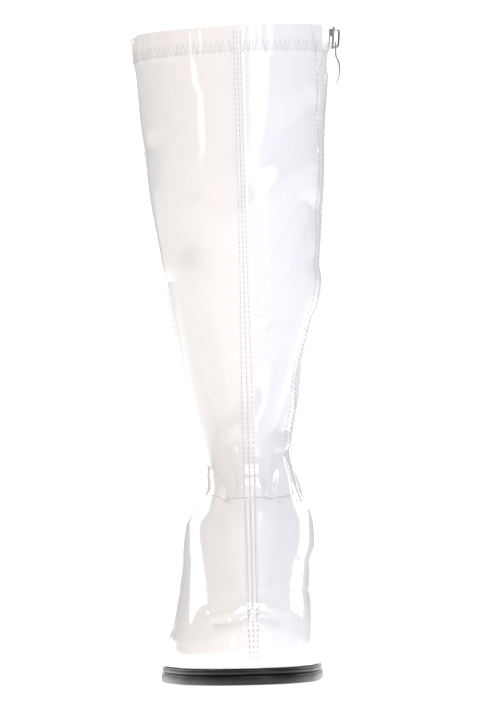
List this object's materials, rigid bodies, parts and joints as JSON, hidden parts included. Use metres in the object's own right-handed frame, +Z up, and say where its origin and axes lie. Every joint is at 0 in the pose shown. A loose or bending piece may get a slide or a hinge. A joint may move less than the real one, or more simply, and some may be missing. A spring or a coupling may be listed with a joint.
{
  "type": "go go boot",
  "caption": "Knee-high white patent go go boot for the right foot, with a covered block heel, black sole, elastic cuff and an inner side zip with a hinged pull.",
  "frame": {"origin": "on the floor under the middle of the heel's top lift", "axes": "+Z up along the shaft, -Y towards the toe, +X towards the inner side of the right foot"},
  "size_m": [0.124, 0.2362, 0.3714],
  "materials": {
    "upper": "high gloss white stretch patent, smooth, with soft creases at the ankle",
    "sole": "near black moulded rubber, satin edge",
    "insole": "pale matt sock lining",
    "heel": "heel block covered in the gloss white patent",
    "top_lift": "matt black wearing piece",
    "zip_chain": "white coil zip on woven tape",
    "zip_slider": "polished nickel plate",
    "zip_pull": "polished nickel plate"
  },
  "bodies": {
    "boot": {"upper": "upper", "sole": "sole", "insole": "insole", "heel": "heel", "top_lift": "top_lift", "zip_chain": "zip_chain", "zip_slider": "zip_slider"},
    "pull": {"zip_pull": "zip_pull"}
  },
  "joints": [
    {"name": "pull_swing", "type": "hinge", "parent": "boot", "child": "pull", "pos_m": [0.05754, -0.032, 0.36165], "axis": [0, -1, 0], "range_deg": [0, 150]}
  ]
}
